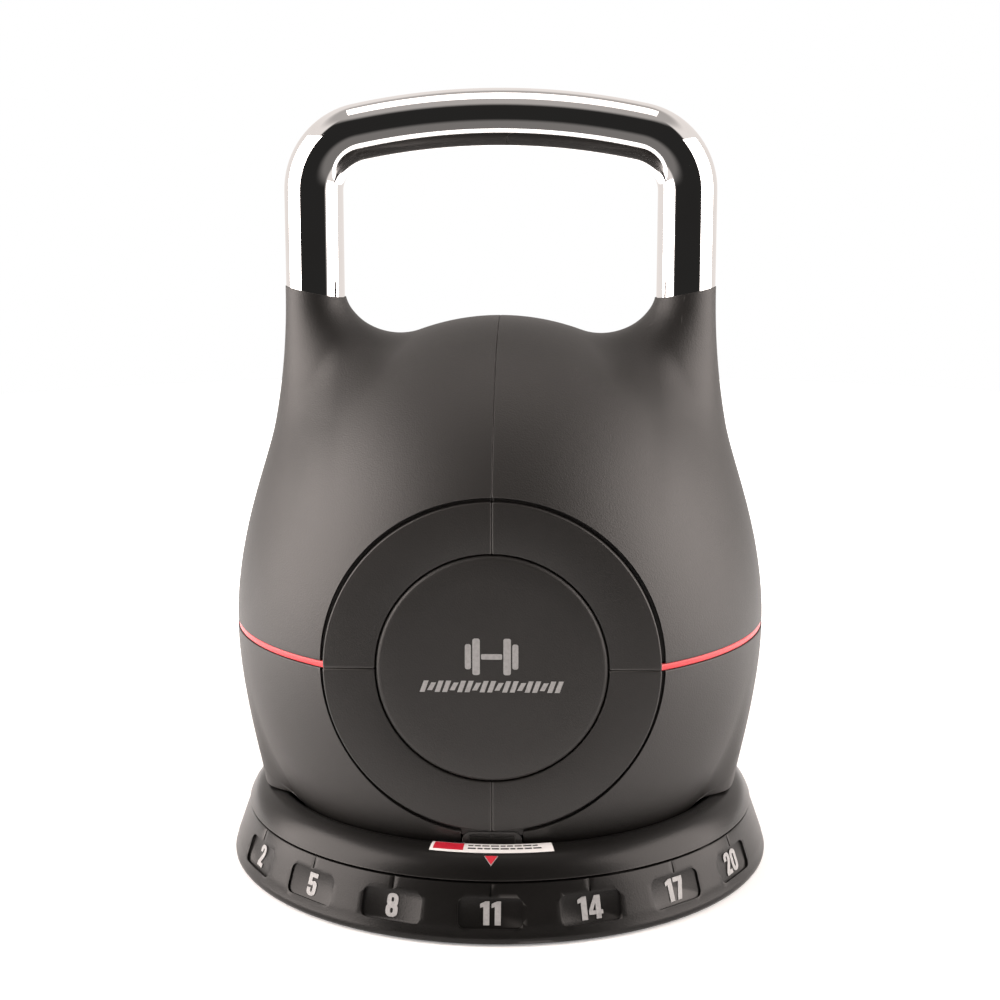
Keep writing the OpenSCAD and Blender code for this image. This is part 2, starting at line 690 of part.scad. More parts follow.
module button_notch() translate([-button_w / 2 - 0.6, -body_r, foot_z - cut])
    cube([button_w + 1.2, body_r - plate_d / 2, button_top_z + 0.6 - foot_z + cut]);

// Cuts one quarter out: the faces meet at the widest level, the sides leave room for the strip
module quarter(upper) intersection() {
    shell_blank(upper);
    translate([half_gap / 2, 0, 0]) union() {
        translate([0, -body_r, upper ? strip_z + strip_h : 0])
            cube([body_r, body_w, upper ? overall_h : strip_z]);
        translate([0, 0, upper ? body_z + half_gap / 2 : strip_z - cut])
            joint_zone(strip_h / 2 + cut - half_gap / 2);
    }
}

// Region inside the strips where the upper and lower shells meet at the widest level
module joint_zone(h) {
    translate([0, -body_r, 0]) cube([ring_r - half_gap, body_w, h]);
    sector(body_r - shell_wall - 0.6, h, -90, 180);
}

module shell_upper_right() black() quarter(true);
module shell_upper_left() black() mirror([1, 0, 0]) quarter(true);
module shell_lower_right() black() quarter(false);
module shell_lower_left() black() mirror([1, 0, 0]) quarter(false);

module trim_strip() color([0.75, 0.06, 0.08]) difference() {
    rotate_extrude($fn = fine) polygon([
        [body_r - shell_wall, strip_z + 0.05], [body_r - strip_inset, strip_z + 0.05],
        [body_r - strip_inset, strip_z + strip_h - 0.05], [body_r - shell_wall, strip_z + strip_h - 0.05]
    ]);
    translate([-body_w, -body_w, 0]) cube([body_w + ring_r + 0.2, 2 * body_w, overall_h]);
}
module trim_strip_right() trim_strip();
module trim_strip_left() mirror([1, 0, 0]) trim_strip();

// Cap with a soft edge and a snap-in collar behind it
cap_edge = 1.6;
collar_len = 5;
module face_cap() translate([0, -face_y, body_z]) rotate([90, 0, 0]) rotate_extrude($fn = fine) {
    back = -cap_seat + 0.05;
    inner = cap_hole_r - 3;
    outer = cap_hole_r - 0.3;
    polygon(concat(
        [[0, back], [inner, back], [inner, back - collar_len], [outer, back - collar_len],
         [outer, back], [cap_r, back]],
        [for (t = [0 : 15 : 90])
            [cap_r - cap_edge + cap_edge * cos(t), cap_proud - cap_edge + cap_edge * sin(t)]],
        [[0, cap_proud]]));
}
module front_cap() black() face_cap();
module back_cap() black() mirror([0, 1, 0]) face_cap();

base_plate();
rubber_feet();
top_cover();
plate_tray();
base_screws();
cover_screws();
pointer_mark();
info_label();
detent_ball();
detent_spring();
lock_spring();
lock_button();
dial_ring();
dial_numbers();
dial_carrier();
dial_screws();
weight_plate(1);  // weight_plate_1
weight_plate(2);  // weight_plate_2
weight_plate(3);  // weight_plate_3
weight_plate(4);  // weight_plate_4
weight_plate(5);  // weight_plate_5
weight_plate(6);  // weight_plate_6
handle_tube();
handle_plugs();
handle_bolts();
handle_frame();
frame_screws();
shell_upper_left();
shell_upper_right();
shell_lower_left();
shell_lower_right();
trim_strip_left();
trim_strip_right();
front_cap();
back_cap();
shell_screws();
shaft_bush();
selector_shaft();
shaft_nut();
cam_clip();
lift_cam(1);  // lift_cam_1
lift_cam(2);  // lift_cam_2
lift_cam(3);  // lift_cam_3
lift_cam(4);  // lift_cam_4
lift_cam(5);  // lift_cam_5
lift_cam(6);  // lift_cam_6
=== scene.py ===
import math

import bmesh
import bpy
import numpy as np
from mathutils import Matrix, Vector


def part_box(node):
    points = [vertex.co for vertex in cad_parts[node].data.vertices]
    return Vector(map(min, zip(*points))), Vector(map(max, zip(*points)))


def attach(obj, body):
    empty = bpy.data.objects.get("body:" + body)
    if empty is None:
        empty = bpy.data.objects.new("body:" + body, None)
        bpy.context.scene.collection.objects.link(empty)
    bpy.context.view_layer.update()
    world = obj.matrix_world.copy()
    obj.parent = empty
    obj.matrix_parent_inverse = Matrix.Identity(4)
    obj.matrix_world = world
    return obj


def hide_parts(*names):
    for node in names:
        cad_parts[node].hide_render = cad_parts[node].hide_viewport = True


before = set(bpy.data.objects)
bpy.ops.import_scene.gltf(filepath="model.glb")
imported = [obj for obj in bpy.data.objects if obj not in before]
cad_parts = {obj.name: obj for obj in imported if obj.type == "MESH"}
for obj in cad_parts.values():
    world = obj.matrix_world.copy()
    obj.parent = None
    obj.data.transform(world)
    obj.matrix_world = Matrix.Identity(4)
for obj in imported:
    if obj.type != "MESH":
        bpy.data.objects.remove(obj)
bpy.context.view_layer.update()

# ---------- Sizes: read from the frame in millimetres, or set here ----------

MM = 0.001


def span(node):
    """Lowest and highest corner of a CAD node, in millimetres."""
    low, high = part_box(node)
    return np.array(low) / MM, np.array(high) / MM


tube_low, tube_high = span("handle_tube")
cap_low, cap_high = span("front_cap")
upper_low, _ = span("shell_upper_right")
strip_low, strip_high = span("trim_strip_right")
dial_low, dial_high = span("dial_ring")
cover_low, cover_high = span("top_cover")
button_low, button_high = span("lock_button")

CAD_TUBE_SIDES = 32
grip_r = tube_high[1] / math.cos(math.pi / CAD_TUBE_SIDES)
leg_x = tube_high[0] - tube_high[1]
tube_foot_z = tube_low[2]
tube_wall = 3
bend_r = 27
arch_r = 318
arch_z = tube_high[2] - grip_r - arch_r
bend_x = leg_x - bend_r
bend_z = arch_z + math.sqrt((arch_r - bend_r) ** 2 - bend_x**2)

cap_r = cap_high[0]
cap_z = (cap_low[2] + cap_high[2]) / 2
cap_face_y = -cap_low[1]
face_y = -upper_low[1]
ring_r = strip_low[0] - 0.2
strip_inset = 1              # of the CAD strip
strip_recess = 0.45          # of the strip that is seen
body_r = strip_high[0] + strip_inset
dome_rise = 143
body_z = cap_z
wall = 3
groove_w = 1.7
groove_depth = 2.8
split = 0.06                 # seam between the quarters of the shell
soft_edge = 0.4              # rounding of the shell's edges
print_t = 0.12               # thickness of the print on the caps
emblem_y = 6                 # heights of the emblem and the bars from the cap's centre
bars_y = -7.1

collar_z = 270.2
collar_tilt = math.tan(math.radians(11))
collar_r = grip_r + 0.35
collar_gap = 0.05

foot_z = 30
lobe_half_w = 43
lobe_foot_r = 115
lobe_lean = 0.155
rim_z = cover_high[2]
lobe_foot_z = rim_z + 0.3
notch_x = button_high[0] + 0.6

dial_r = dial_high[0]
dial_top_z = dial_high[2]
dial_foot_z = dial_low[2]
dial_top_r = dial_r - 7.5
dial_in_r = dial_r - 11.5
dial_slope = math.radians(19.4)
dial_step = math.radians(20)
setting_count = 7
lightest = 2
weight_step = 3
figure_h = 10
window_w = 28
window_h = 13
window_z = 13.85
window_r = dial_top_r + (dial_top_z - window_z) * math.tan(dial_slope)


# ---------- Finishes ----------

class Value:
    """A socket in a node tree; arithmetic on it adds Math nodes."""

    def __init__(self, finish, link):
        self.finish = finish
        self.link = link

    def math(self, operation, *values):
        return self.finish.node("ShaderNodeMath", {"operation": operation}, values)

    def __add__(self, other):
        return self.math("ADD", self, other)

    def __sub__(self, other):
        return self.math("SUBTRACT", self, other)

    def __rsub__(self, other):
        return self.math("SUBTRACT", other, self)

    def __mul__(self, other):
        return self.math("MULTIPLY", self, other)

    def __truediv__(self, other):
        return self.math("DIVIDE", self, other)

    def __pow__(self, other):
        return self.math("POWER", self, other)

    __radd__ = __add__
    __rmul__ = __mul__

    def between(self, low, high):
        """0 at low and under, 1 at high and over."""
        return self.finish.node("ShaderNodeMapRange", {"interpolation_type": "SMOOTHSTEP"},
                                {"Value": self, "From Min": low, "From Max": high})


class Finish:
    """A node tree under construction."""

    def __init__(self, tree):
        self.tree = tree
        tree.nodes.clear()

    def node(self, kind, settings=None, inputs=(), output=0):
        made = self.tree.nodes.new(kind)
        for name, value in (settings or {}).items():
            setattr(made, name, value)
        pairs = inputs.items() if isinstance(inputs, dict) else enumerate(inputs)
        for key, value in pairs:
            if isinstance(value, Value):
                self.tree.links.new(value.link, made.inputs[key])
            else:
                made.inputs[key].default_value = value
        return Value(self, made.outputs[output]) if made.outputs else None

    def place(self):
        return self.node("ShaderNodeTexCoord", output=3)

    def noise(self, scale, detail=3, stretch=(1, 1, 1)):
        spot = self.node("ShaderNodeVectorMath", {"operation": "MULTIPLY"}, (self.place(), stretch))
        return self.node("ShaderNodeTexNoise", inputs={"Vector": spot, "Scale": scale, "Detail": detail})

    def cells(self, scale):
        return self.node("ShaderNodeTexVoronoi", inputs={"Vector": self.place(), "Scale": scale})

    def edges(self):
        """1 on worn convex edges, 0 elsewhere."""
        bent = self.node("ShaderNodeNewGeometry", output="Pointiness")
        return bent.between(0.53, 0.62)

    def mix(self, share, first, second):
        return self.node("ShaderNodeMix", {"data_type": "RGBA"}, {0: share, 6: first, 7: second}, output=2)

    def bump(self, height, distance, strength=1.0):
        inputs = {"Height": height, "Distance": distance, "Strength": strength}
        return self.node("ShaderNodeBump", inputs=inputs)

    def surface(self, **sockets):
        """Ends the tree in a Principled shader; underscores stand for spaces."""
        inputs = {name.replace("_", " "): value for name, value in sockets.items()}
        shader = self.node("ShaderNodeBsdfPrincipled", inputs=inputs)
        self.node("ShaderNodeOutputMaterial", inputs={"Surface": shader})


def material(name):
    made = bpy.data.materials.new(name)
    made.use_nodes = True
    return made, Finish(made.node_tree)


def grey(level, warmth=0.0):
    return (level * (1 + warmth), level, level * (1 - warmth), 1)


def tinted(colour, factor):
    """The colour times a factor, at full opacity."""
    return [c * factor for c in colour[:3]] + [1]


def moulded_plastic(name, colour, worn, rough, grain, depth, level=0.5):
    """Spark-eroded black plastic: fine grain, uneven sheen, paler on worn edges."""
    made, f = material(name)
    patches = f.noise(22, 4)
    leather = f.cells(grain)
    fine = f.noise(grain * 1.7, 4)
    texture = leather * 0.6 + fine * 0.7
    shade = f.mix(patches.between(0.3, 0.75) * 0.5 + fine * 0.25, colour, tinted(colour, 1.5))
    shade = f.mix(f.edges() * 0.7, shade, worn)
    f.surface(Base_Color=shade, Roughness=rough + (patches - 0.5) * 0.08 + (fine - 0.5) * 0.1,
              Normal=f.bump(texture, depth), Specular_IOR_Level=level)
    return made


def bare_metal(name, colour, dull, rough, scale, stretch, depth):
    """Machined or plated metal: drawn lines, cloudy tarnish, brighter edges."""
    made, f = material(name)
    cloud = f.noise(35, 5)
    lines = f.noise(scale, 3, stretch)
    shade = f.mix(cloud.between(0.35, 0.75), colour, dull)
    shade = f.mix(f.edges() * 0.5, shade, [min(1, c * 1.3) for c in colour[:3]] + [1])
    f.surface(Base_Color=shade, Metallic=1.0, Roughness=rough + (cloud - 0.5) * 0.16 + (lines - 0.5) * 0.12,
              Normal=f.bump(lines, depth))
    return made


def chrome_plate(name):
    """Mirror plating with faint smudges where hands hold it."""
    made, f = material(name)
    smudge = f.noise(28, 5)
    haze = f.noise(260, 3)
    shade = f.mix(smudge.between(0.45, 0.8), grey(0.86, -0.005), grey(0.79, 0.01))
    rough = 0.03 + smudge.between(0.5, 0.8) * 0.035 + haze * 0.012
    f.surface(Base_Color=shade, Metallic=1.0, Roughness=rough, Normal=f.bump(haze, 0.000004))
    return made


def cast_iron(name):
    """Painted casting: pitted skin with bare metal showing at the corners."""
    made, f = material(name)
    pits = f.cells(520)
    skin = f.noise(190, 6)
    shade = f.mix(skin.between(0.3, 0.7), grey(0.035), grey(0.06, 0.03))
    shade = f.mix(f.edges(), shade, grey(0.3, 0.02))
    f.surface(Base_Color=shade, Metallic=f.edges() * 0.8, Roughness=0.55 + (skin - 0.5) * 0.3,
              Normal=f.bump(skin * 0.7 + pits * 0.4, 0.00022))
    return made


def rubber(name):
    made, f = material(name)
    dust = f.noise(70, 5)
    fine = f.noise(1500, 2)
    shade = f.mix(dust.between(0.45, 0.75), grey(0.018), grey(0.05, 0.02))
    f.surface(Base_Color=shade, Roughness=0.78 + (fine - 0.5) * 0.15, Normal=f.bump(fine, 0.00005))
    return made


def red_trim(name):
    """Dyed plastic strip with drawn lines along it."""
    made, f = material(name)
    lines = f.noise(900, 3, (0.15, 0.15, 3))
    cloud = f.noise(45, 3)
    shade = f.mix(cloud.between(0.3, 0.7), (0.56, 0.022, 0.03, 1), (0.44, 0.014, 0.022, 1))
    shade = f.mix(f.edges() * 0.5, shade, (0.8, 0.14, 0.14, 1))
    f.surface(Base_Color=shade, Roughness=0.34 + (lines - 0.5) * 0.15, Normal=f.bump(lines, 0.00002))
    return made


def printed_ink(name, colour, rough=0.5):
    """Pad-printed ink: a little uneven, with the plastic's grain under it."""
    made, f = material(name)
    cover = f.noise(650, 4)
    grain = f.cells(1300)
    shade = f.mix(cover.between(0.25, 0.65), tinted(colour, 0.82), colour)
    f.surface(Base_Color=shade, Roughness=rough + (cover - 0.5) * 0.2, Normal=f.bump(grain, 0.00002))
    return made


def paper(name, colour):
    """Glossy label stock with a faint fibre."""
    made, f = material(name)
    fibre = f.noise(1400, 5, (1, 0.4, 1))
    cloud = f.noise(60, 3)
    shade = f.mix(cloud.between(0.3, 0.8) * 0.6 + fibre * 0.2, colour, tinted(colour, 0.86))
    f.surface(Base_Color=shade, Roughness=0.36 + (fibre - 0.5) * 0.15, Normal=f.bump(fibre, 0.00001))
    return made


finishes = {
    "black_shell": moulded_plastic("grained_shell_plastic", grey(0.006, 0.1), grey(0.06, 0.03),
                                   0.52, 1200, 0.00007),
    "black_base": moulded_plastic("base_plastic", grey(0.005, 0.05), grey(0.05, 0.03),
                                  0.3, 1150, 0.00004, 0.22),
    "button_plastic": moulded_plastic("button_plastic", grey(0.009, 0.08), grey(0.07, 0.03),
                                      0.38, 1500, 0.00003),
    "inner_plastic": moulded_plastic("inner_plastic", grey(0.03), grey(0.11), 0.5, 700, 0.00004),
    "rubber": rubber("foot_rubber"),
    "steel": bare_metal("zinc_plated_steel", grey(0.62, 0.02), grey(0.45, 0.04),
                        0.3, 900, (1, 1, 6), 0.00001),
    "frame_steel": bare_metal("galvanised_frame", grey(0.5), grey(0.36, 0.02), 0.42, 260, (1, 5, 1), 0.00002),
    "cam_metal": bare_metal("sintered_cam", grey(0.42, 0.03), grey(0.3, 0.05),
                            0.46, 1200, (1, 1, 1), 0.00003),
    "bronze": bare_metal("bush_bronze", (0.6, 0.38, 0.16, 1), (0.4, 0.24, 0.1, 1),
                         0.34, 1000, (1, 1, 5), 0.00001),
    "chrome": chrome_plate("chrome_plate"),
    "cast_iron": cast_iron("painted_casting"),
    "red_trim": red_trim("red_strip_plastic"),
    "number_grey": printed_ink("number_ink", grey(0.3)),
    "red_ink": printed_ink("red_ink", (0.5, 0.012, 0.03, 1), 0.45),
    "black_ink": printed_ink("black_ink", grey(0.03)),
    "label": paper("label_paper", grey(0.78, 0.01)),
}


# ---------- Mesh tools ----------

def join_rows(rows, around, over, start=None, end=None):
    """Faces between rows of equal length; around closes each row, over joins the last row to the first.
    start and end are single points that close the first and the last row."""
    rows = np.asarray(rows)
    count, size = rows.shape[:2]
    points = rows.reshape(-1, 3)
    faces = []
    for i in range(count if over else count - 1):
        k = (i + 1) % count
        for j in range(size if around else size - 1):
            m = (j + 1) % size
            faces.append((i * size + j, i * size + m, k * size + m, k * size + j))
    for apex, row in ((start, 0), (end, count - 1)):
        if apex is not None:
            points = np.vstack([points, apex])
            tip = len(points) - 1
            faces += [(row * size + j, tip, row * size + (j + 1) % size) for j in range(size)]
    return points, faces


def solid(points, faces):
    """A mesh from millimetre points, its faces turned outwards."""
    mesh = bpy.data.meshes.new("solid")
    mesh.from_pydata([tuple(p) for p in np.asarray(points, float) * MM], [], faces)
    work = bmesh.new()
    work.from_mesh(mesh)
    bmesh.ops.recalc_face_normals(work, faces=work.faces)
    work.to_mesh(mesh)
    work.free()
    return mesh


def swept(rows):
    """A closed outline carried along a path: one row for each point of the outline, with flat ends."""
    points, faces = join_rows(rows, False, True)
    count, size = len(rows), len(rows[0])
    ends = [[i * size + j for i in range(count)] for j in (0, size - 1)]
    return solid(points, faces + ends)


def piece(name, *meshes):
    """One object from one or several meshes."""
    work = bmesh.new()
    for mesh in meshes:
        work.from_mesh(mesh)
    made = bpy.data.meshes.new(name)
    work.to_mesh(made)
    work.free()
    obj = bpy.data.objects.new(name, made)
    bpy.context.scene.collection.objects.link(obj)
    return obj


def modify(obj, *modifiers):
    """Adds modifiers, each given as its type and its settings."""
    for kind, settings in modifiers:
        modifier = obj.modifiers.new(kind.lower(), kind)
        for name, value in settings.items():
            setattr(modifier, name, value)


def modified(mesh, *modifiers):
    """The mesh after its modifiers."""
    obj = piece("work", mesh)
    modify(obj, *modifiers)
    evaluated = obj.evaluated_get(bpy.context.evaluated_depsgraph_get())
    made = bpy.data.meshes.new_from_object(evaluated)
    bpy.data.objects.remove(obj)
    return made


def rounding(width, segments=2, angle=32):
    return ("BEVEL", {"width": width * MM, "segments": segments, "limit_method": "ANGLE",
                      "angle_limit": math.radians(angle), "use_clamp_overlap": True})


def cut(mesh, *cutters):
    """The mesh with the cutters' volume taken out."""
    tool = piece("cutter", *cutters)
    made = modified(mesh, ("BOOLEAN", {"object": tool, "operation": "DIFFERENCE", "solver": "EXACT"}))
    bpy.data.objects.remove(tool)
    return made


def moved(mesh, matrix):
    made = mesh.copy()
    made.transform(matrix)
    if matrix.is_negative:
        made.flip_normals()
    return made


def facing_front(y, z):
    """Stands a flat shape up, so that its height points towards -Y."""
    return Matrix.Translation((0, y * MM, z * MM)) @ Matrix.Rotation(math.radians(90), 4, "X")


def mirrored(mesh, x=1, y=1):
    return moved(mesh, Matrix.Diagonal((x, y, 1, 1)))


def prism(outline, low, high):
    """An outline in x and y, in millimetres, raised from low to high."""
    ring = [[(x, y, z) for x, y in outline] for z in (low, high)]
    points, faces = join_rows(ring, True, False)
    count = len(outline)
    return solid(points, faces + [list(range(count)), list(range(count, 2 * count))])


def rounded_rectangle(width, height, r, steps=6):
    """Outline of a rectangle with round corners, centred."""
    corners = [(1, 1, 0), (-1, 1, 90), (-1, -1, 180), (1, -1, 270)]
    outline = []
    for sx, sy, first in corners:
        for k in range(steps + 1):
            t = math.radians(first + 90 * k / steps)
            x = sx * (width / 2 - r) + r * math.cos(t)
            y = sy * (height / 2 - r) + r * math.sin(t)
            outline.append((x, y))
    return outline


def arc(cx, cy, r, first, last, steps):
    """Points on an arc, in degrees."""
    angles = np.radians(np.linspace(first, last, steps + 1))
    return [(cx + r * math.cos(t), cy + r * math.sin(t)) for t in angles]


def level_arc(r, z, angles):
    """Points round Z at one radius and height."""
    return np.stack([r * np.cos(angles), r * np.sin(angles), np.full(len(angles), float(z))], -1)


def lathe(profile, segments=256):
    """An outline of radius and height, turned about Z: closed, or from the axis to the axis."""
    t = np.arange(segments) * 2 * math.pi / segments
    on_axis = profile[0][0] == 0
    rings = profile[1:-1] if on_axis else profile
    rows = [level_arc(r, z, t) for r, z in rings]
    start, end = [(0, 0, profile[k][1]) if on_axis else None for k in (0, -1)]
    return solid(*join_rows(rows, True, not on_axis, start=start, end=end))


def show(obj, finish, body, stands_for=(), sharp=38):
    """Gives a piece its finish and the body it rides on."""
    for polygon in obj.data.polygons:
        polygon.use_smooth = True
    obj.data.set_sharp_from_angle(angle=math.radians(sharp))
    obj.data.materials.clear()
    obj.data.materials.append(finishes[finish])
    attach(obj, body)
    if stands_for:
        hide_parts(*stands_for)
    return obj


# ---------- Shape of the shell ----------

def smooth_min(a, b, k):
    h = np.clip(0.5 + 0.5 * (b - a) / k, 0, 1)
    return b + (a - b) * h - k * h * (1 - h)


def smoothstep(t):
    t = np.clip(t, 0, 1)
    return t * t * (3 - 2 * t)


def egg(p):
    """Distance, roughly, to the egg-shaped body."""
    q = p - [0, 0, body_z]
    radii = np.array([body_r, body_r, dome_rise])
    near = np.linalg.norm(q / radii, axis=-1)
    return near * (near - 1) / np.linalg.norm(q / radii**2, axis=-1)


def horn(p):
    """Distance, roughly, to the horn that rises round the handle's leg."""
    drop = np.maximum(collar_z - p[..., 2], 0)
    outer = leg_x + collar_r + 0.0015 * smooth_min(drop, 100, 30) ** 2
    inner = leg_x - collar_r - smooth_min(0.043 * drop**2, 53, 20)
    half_x = (outer - inner) / 2
    half_y = collar_r + smooth_min(0.0105 * drop**2, 50, 40)
    across = (p[..., 0] - (outer + inner) / 2) / half_x
    return (np.sqrt(across**2 + (p[..., 1] / half_y) ** 2) - 1) * np.minimum(half_x, half_y)


def upper_skin(p):
    """The dome and one horn, melting together in the saddle and crisper outside."""
    drop = collar_z - p[..., 2]
    saddle = smoothstep((leg_x + 6 - p[..., 0]) / 20)
    blend = (9 + 8 * saddle) * smoothstep((drop + 4) / 16) + 0.5
    return smooth_min(egg(p), horn(p), blend)


def lower_skin(p):
    """The lower body, with the lobe at its side that rests over the base's rim."""
    climb = smooth_min(p[..., 2] - lobe_foot_z, 28, 16)
    reach = np.hypot(p[..., 0], p[..., 1]) - (lobe_foot_r + lobe_lean * climb)
    lobe = -smooth_min(-reach, lobe_half_w - np.abs(p[..., 1]), 12)
    return smooth_min(egg(p), lobe, 8)


def gradient(field, p):
    """Gradient of a field at points, by central differences."""
    h = 0.02
    steps = np.eye(3) * h
    return np.stack([(field(p + s) - field(p - s)) / (2 * h) for s in steps], -1)


def normals_of(field, p):
    slope = gradient(field, p)
    return slope / np.linalg.norm(slope, axis=-1, keepdims=True)


def way_along(path):
    """Distance walked at each point of a path."""
    return np.concatenate([[0], np.cumsum(np.linalg.norm(np.diff(path, axis=0), axis=1))])


def ring_reach(p):
    """Distance from the axis through the caps."""
    return np.hypot(p[..., 0], p[..., 2] - cap_z)


class Patch:
    """Part of the skin, in columns walked over it in half-planes round an axis, out to its borders.
    place turns an angle and two lengths in its half-plane into points."""

    def __init__(self, skin, place, start, heading, borders):
        self.skin = skin
        self.place = place
        self.start = start
        self.heading = heading
        self.borders = borders

    def settle(self, angles, flat):
        """Moves points onto the skin, inside their half-planes."""
        h = 0.02
        for _ in range(3):
            level = self.skin(self.place(angles, flat))
            slope = np.stack([(self.skin(self.place(angles, flat + s)) - level) / h
                              for s in np.eye(2) * h], -1)
            flat = flat - slope * (level / np.maximum((slope**2).sum(-1), 1e-6))[..., None]
        return flat, slope / np.linalg.norm(slope, axis=-1, keepdims=True)

    def walk(self, angles, step=1.5, count=190):
        """Flat paths over the skin, one column for each angle."""
        here, slope = self.settle(angles, self.start(angles))
        heading = np.broadcast_to(self.heading, here.shape)
        paths = [here]
        for _ in range(count):
            ahead = np.stack([-slope[..., 1], slope[..., 0]], -1)
            ahead = ahead * np.sign((ahead * heading).sum(-1, keepdims=True))
            here, slope = self.settle(angles, here + ahead * step)
            heading = ahead
            paths.append(here)
        return np.stack(paths)

    def columns(self, angles, fractions):
        """Points on the skin along each column, at fractions of its way to the border."""
        paths = self.walk(angles)
        reach = np.stack([b(self.place(angles, paths)) for b in self.borders])
        first = np.argmax(reach.min(0) < 0, axis=0)
        rows = np.empty((len(fractions), len(angles), 2))
        for j, k in enumerate(first):
            side = reach[:, k, j].argmin()
            before, after = reach[side, k - 1, j], reach[side, k, j]
            last = paths[k - 1, j] + (paths[k, j] - paths[k - 1, j]) * before / (before - after)
            path = np.vstack([paths[:k, j], last])
            way = way_along(path)
            at = np.asarray(fractions) * way[-1]
            rows[:, j] = np.stack([np.interp(at, way, path[:, i]) for i in (0, 1)], -1)
        flat, _ = self.settle(angles, rows)
        return self.place(angles, flat)

    def corner(self, first, second, guess):
        """Where the skin meets two borders."""
        p = np.array(guess, float)
        fields = (self.skin, self.borders[first], self.borders[second])
        for _ in range(30):
            level = np.array([f(p) for f in fields])
            slopes = np.array([gradient(f, p) for f in fields])
            p = p - np.linalg.solve(slopes, level)
        return p

    def rim(self, edge, depth):
        """Rows that round the border's edge over and lead down its wall."""
        out = np.zeros_like(edge)
        inward = -normals_of(self.skin, edge)
        for border in self.borders:
            close = (np.abs(border(edge)) < 0.06)[:, None]
            away = -normals_of(border, edge)
            out += np.where(close, away, 0)
            inward = np.where(close, inward - away * (inward * away).sum(-1, keepdims=True), inward)
        inward /= np.linalg.norm(inward, axis=-1, keepdims=True)
        rows = [edge + soft_edge * (out * math.sin(t) + inward * (1 - math.cos(t)))
                for t in np.radians([22.5, 45, 67.5, 90])]
        rows.append(edge + out * soft_edge + inward * depth)
        return rows


def spread(patch, marks, spacing):
    """Angles of columns, evenly spaced along the border between its corners' angles."""
    result = []
    for first, last in zip(marks, [*marks[1:], marks[0] + 2 * math.pi]):
        trial = np.linspace(first, last, 60)
        edge = patch.columns(trial, [1.0])[0]
        way = way_along(edge)
        count = max(2, round(way[-1] / spacing))
        result.append(np.interp(np.arange(count) * way[-1] / count, way, trial))
    return np.concatenate(result)


def rising(angles):
    """Angles carried past a full turn where they would fall back."""
    result = [angles[0]]
    for a in angles[1:]:
        result.append(a + 2 * math.pi * math.ceil((result[-1] - a) / (2 * math.pi)))
    return result


def gathered_ends(count):
    """Fractions from 0 to 1 that gather a little at both ends."""
    t = np.linspace(0, 1, count)
    return 0.6 * t + 0.4 * smoothstep(t)


# ---------- Upper quarter ----------

groove_r = ring_r + groove_w
strip_gap_low = strip_low[2] - 0.1
strip_gap_high = strip_high[2] + 0.1


def round_leg(angles, flat):
    return np.stack([leg_x + flat[..., 0] * np.cos(angles), flat[..., 0] * np.sin(angles), flat[..., 1]], -1)


def collar_start(angles):
    height = collar_z + collar_tilt * collar_r * np.cos(angles) - 0.3
    return np.stack([np.full(len(angles), collar_r), height], -1)


upper = Patch(upper_skin, round_leg, collar_start, (0.0, -1.0), [
    lambda p: p[..., 0] - split / 2 - soft_edge,
    lambda p: ring_reach(p) - groove_r - soft_edge,
    lambda p: p[..., 2] - strip_gap_high - soft_edge,
])


def upper_quarter():
    """The right upper quarter's skin, wall and collar as one closed solid."""
    front_top = upper.corner(0, 1, (0, -face_y, cap_z + groove_r))
    front_side = upper.corner(1, 2, (groove_r, -100, strip_gap_high))
    corners = [front_top, front_side, front_side * [1, -1, 1], front_top * [1, -1, 1]]
    marks = rising([math.atan2(c[1], c[0] - leg_x) for c in corners])
    angles = spread(upper, marks, 2.2)
    outer = upper.columns(angles, gathered_ends(84))
    rim = upper.rim(outer[-1], wall)
    normals = normals_of(upper_skin, outer)
    way = np.cumsum(np.linalg.norm(np.diff(outer, axis=0, prepend=outer[:1]), axis=-1), axis=0)
    lip = collar_r - grip_r - collar_gap
    thickness = lip + (wall - lip) * smoothstep(way / 30)
    inner = (outer - normals * thickness[..., None])[::-1]
    radial = np.stack([np.cos(angles), np.sin(angles), np.zeros(len(angles))], -1)
    up = np.array([0, 0, 1.0])
    turn = 0.15
    bore_top = outer[0] - radial * lip + up * 0.05
    lips = [bore_top, outer[0] - radial * (lip - 0.08) + up * 0.28]
    lips += [outer[0] - radial * turn * (1 - math.cos(t)) + up * (0.3 - turn + turn * math.sin(t))
             for t in np.radians([90, 60, 30, 0])]
    rows = [*outer, *rim, *inner, *lips]
    return solid(*join_rows(rows, True, True))


# ---------- Lower quarter ----------

pole_z = 72


def round_pole(angles, flat):
    out, x = flat[..., 0], flat[..., 1]
    return np.stack([x, -out * np.cos(angles), pole_z + out * np.sin(angles)], -1)


def pole_start(angles):
    return np.stack([np.full(len(angles), 2.0), np.full(len(angles), 121.0)], -1)


def foot_height(p):
    return lobe_foot_z + (foot_z - lobe_foot_z) * smoothstep((np.abs(p[..., 1]) - 44) / 18)


lower = Patch(lower_skin, round_pole, pole_start, (1.0, 0.0), [
    lambda p: p[..., 0] - np.where(p[..., 1] < 0, notch_x, split / 2) - soft_edge,
    lambda p: ring_reach(p) - groove_r - soft_edge,
    lambda p: strip_gap_low - soft_edge - p[..., 2],
    lambda p: p[..., 2] - foot_height(p) - soft_edge,
])


